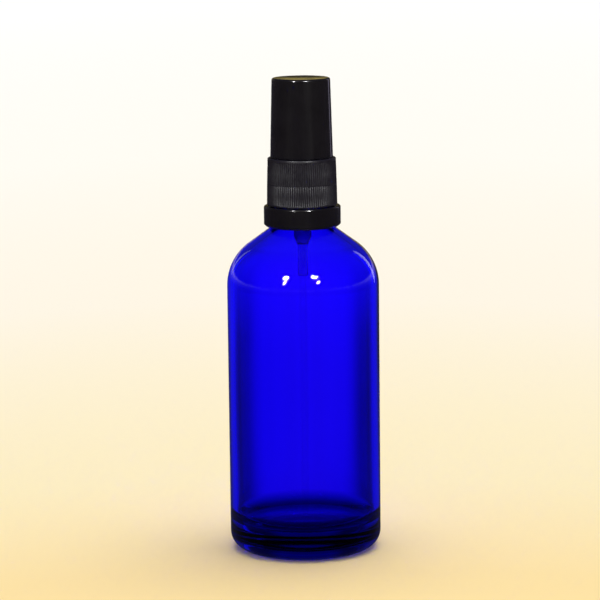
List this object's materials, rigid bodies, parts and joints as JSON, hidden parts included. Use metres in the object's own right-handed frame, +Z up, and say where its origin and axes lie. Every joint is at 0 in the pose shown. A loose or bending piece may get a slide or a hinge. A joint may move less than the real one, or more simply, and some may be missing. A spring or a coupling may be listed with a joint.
{
  "type": "perfume atomiser",
  "caption": "Round glass bottle with a screw-on fine-mist pump, tamper-evident ring, ribbed collar, spray button and pull-off tapered overcap.",
  "frame": {"origin": "centre of the bottle's base, on the surface it stands on", "axes": "+Z up along the bottle's axis; the nozzle sprays towards -Y; +X is to the right seen from the front"},
  "size_m": [0.0446, 0.0446, 0.1393],
  "materials": {
    "cobalt_glass": "transparent cobalt-blue glass, fire-polished, lightly wavy inside",
    "gloss_black": "black polypropylene, glossy, faint moulding marks",
    "satin_black": "black polypropylene, satin",
    "soft_seal": "soft off-white elastomer",
    "white_plastic": "natural white polyethylene",
    "clear_plastic": "natural translucent polypropylene or polyethylene: clear where thin, milky where thick",
    "spring_steel": "drawn stainless spring wire",
    "polished_steel": "polished stainless ball"
  },
  "bodies": {
    "bottle": {"bottle": "cobalt_glass", "bottle_neck": "cobalt_glass", "tamper_ring": "gloss_black"},
    "pump": {"pump_housing": "clear_plastic", "neck_gasket": "soft_seal", "turret": "satin_black", "stem_seal": "soft_seal", "ball_cage": "white_plastic", "dip_tube": "clear_plastic", "return_spring": "spring_steel"},
    "collar": {"collar": "satin_black"},
    "overcap": {"overcap": "gloss_black"},
    "plunger": {"stem": "white_plastic", "core_rod": "white_plastic", "piston_spring": "spring_steel"},
    "piston": {"piston": "white_plastic"},
    "button": {"actuator": "gloss_black", "nozzle_insert": "gloss_black"},
    "inlet_ball": {"inlet_ball": "polished_steel"}
  },
  "joints": [
    {"name": "pump_lift", "type": "slide", "parent": "bottle", "child": "pump", "axis": [0, 0, 1], "range_m": [0, 0.006]},
    {"name": "collar_turn", "type": "hinge", "parent": "pump", "child": "collar", "pos_m": [0, 0, 0.109], "axis": [0, 0, 1], "range_deg": [0, 720]},
    {"name": "overcap_pull", "type": "slide", "parent": "collar", "child": "overcap", "axis": [0, 0, 1], "range_m": [0, 0.03]},
    {"name": "plunger_press", "type": "slide", "parent": "pump", "child": "plunger", "axis": [0, 0, -1], "range_m": [0, 0.004], "stiffness_N_per_m": 700, "springref_m": -0.005, "deforming": ["return_spring"]},
    {"name": "piston_open", "type": "slide", "parent": "plunger", "child": "piston", "axis": [0, 0, 1], "range_m": [0, 0.0005], "stiffness_N_per_m": 2000, "springref_m": -0.0005, "deforming": ["piston_spring"]},
    {"name": "nozzle_turn", "type": "hinge", "parent": "plunger", "child": "button", "pos_m": [0, 0, 0.1245], "axis": [0, 0, 1], "continuous": true},
    {"name": "ball_lift", "type": "slide", "parent": "pump", "child": "inlet_ball", "axis": [0, 0, 1], "range_m": [0, 0.0007]}
  ],
  "couplings": [
    {"joint": "pump_lift", "follows": "collar_turn", "m_per_rad": 0.00047746}
  ]
}
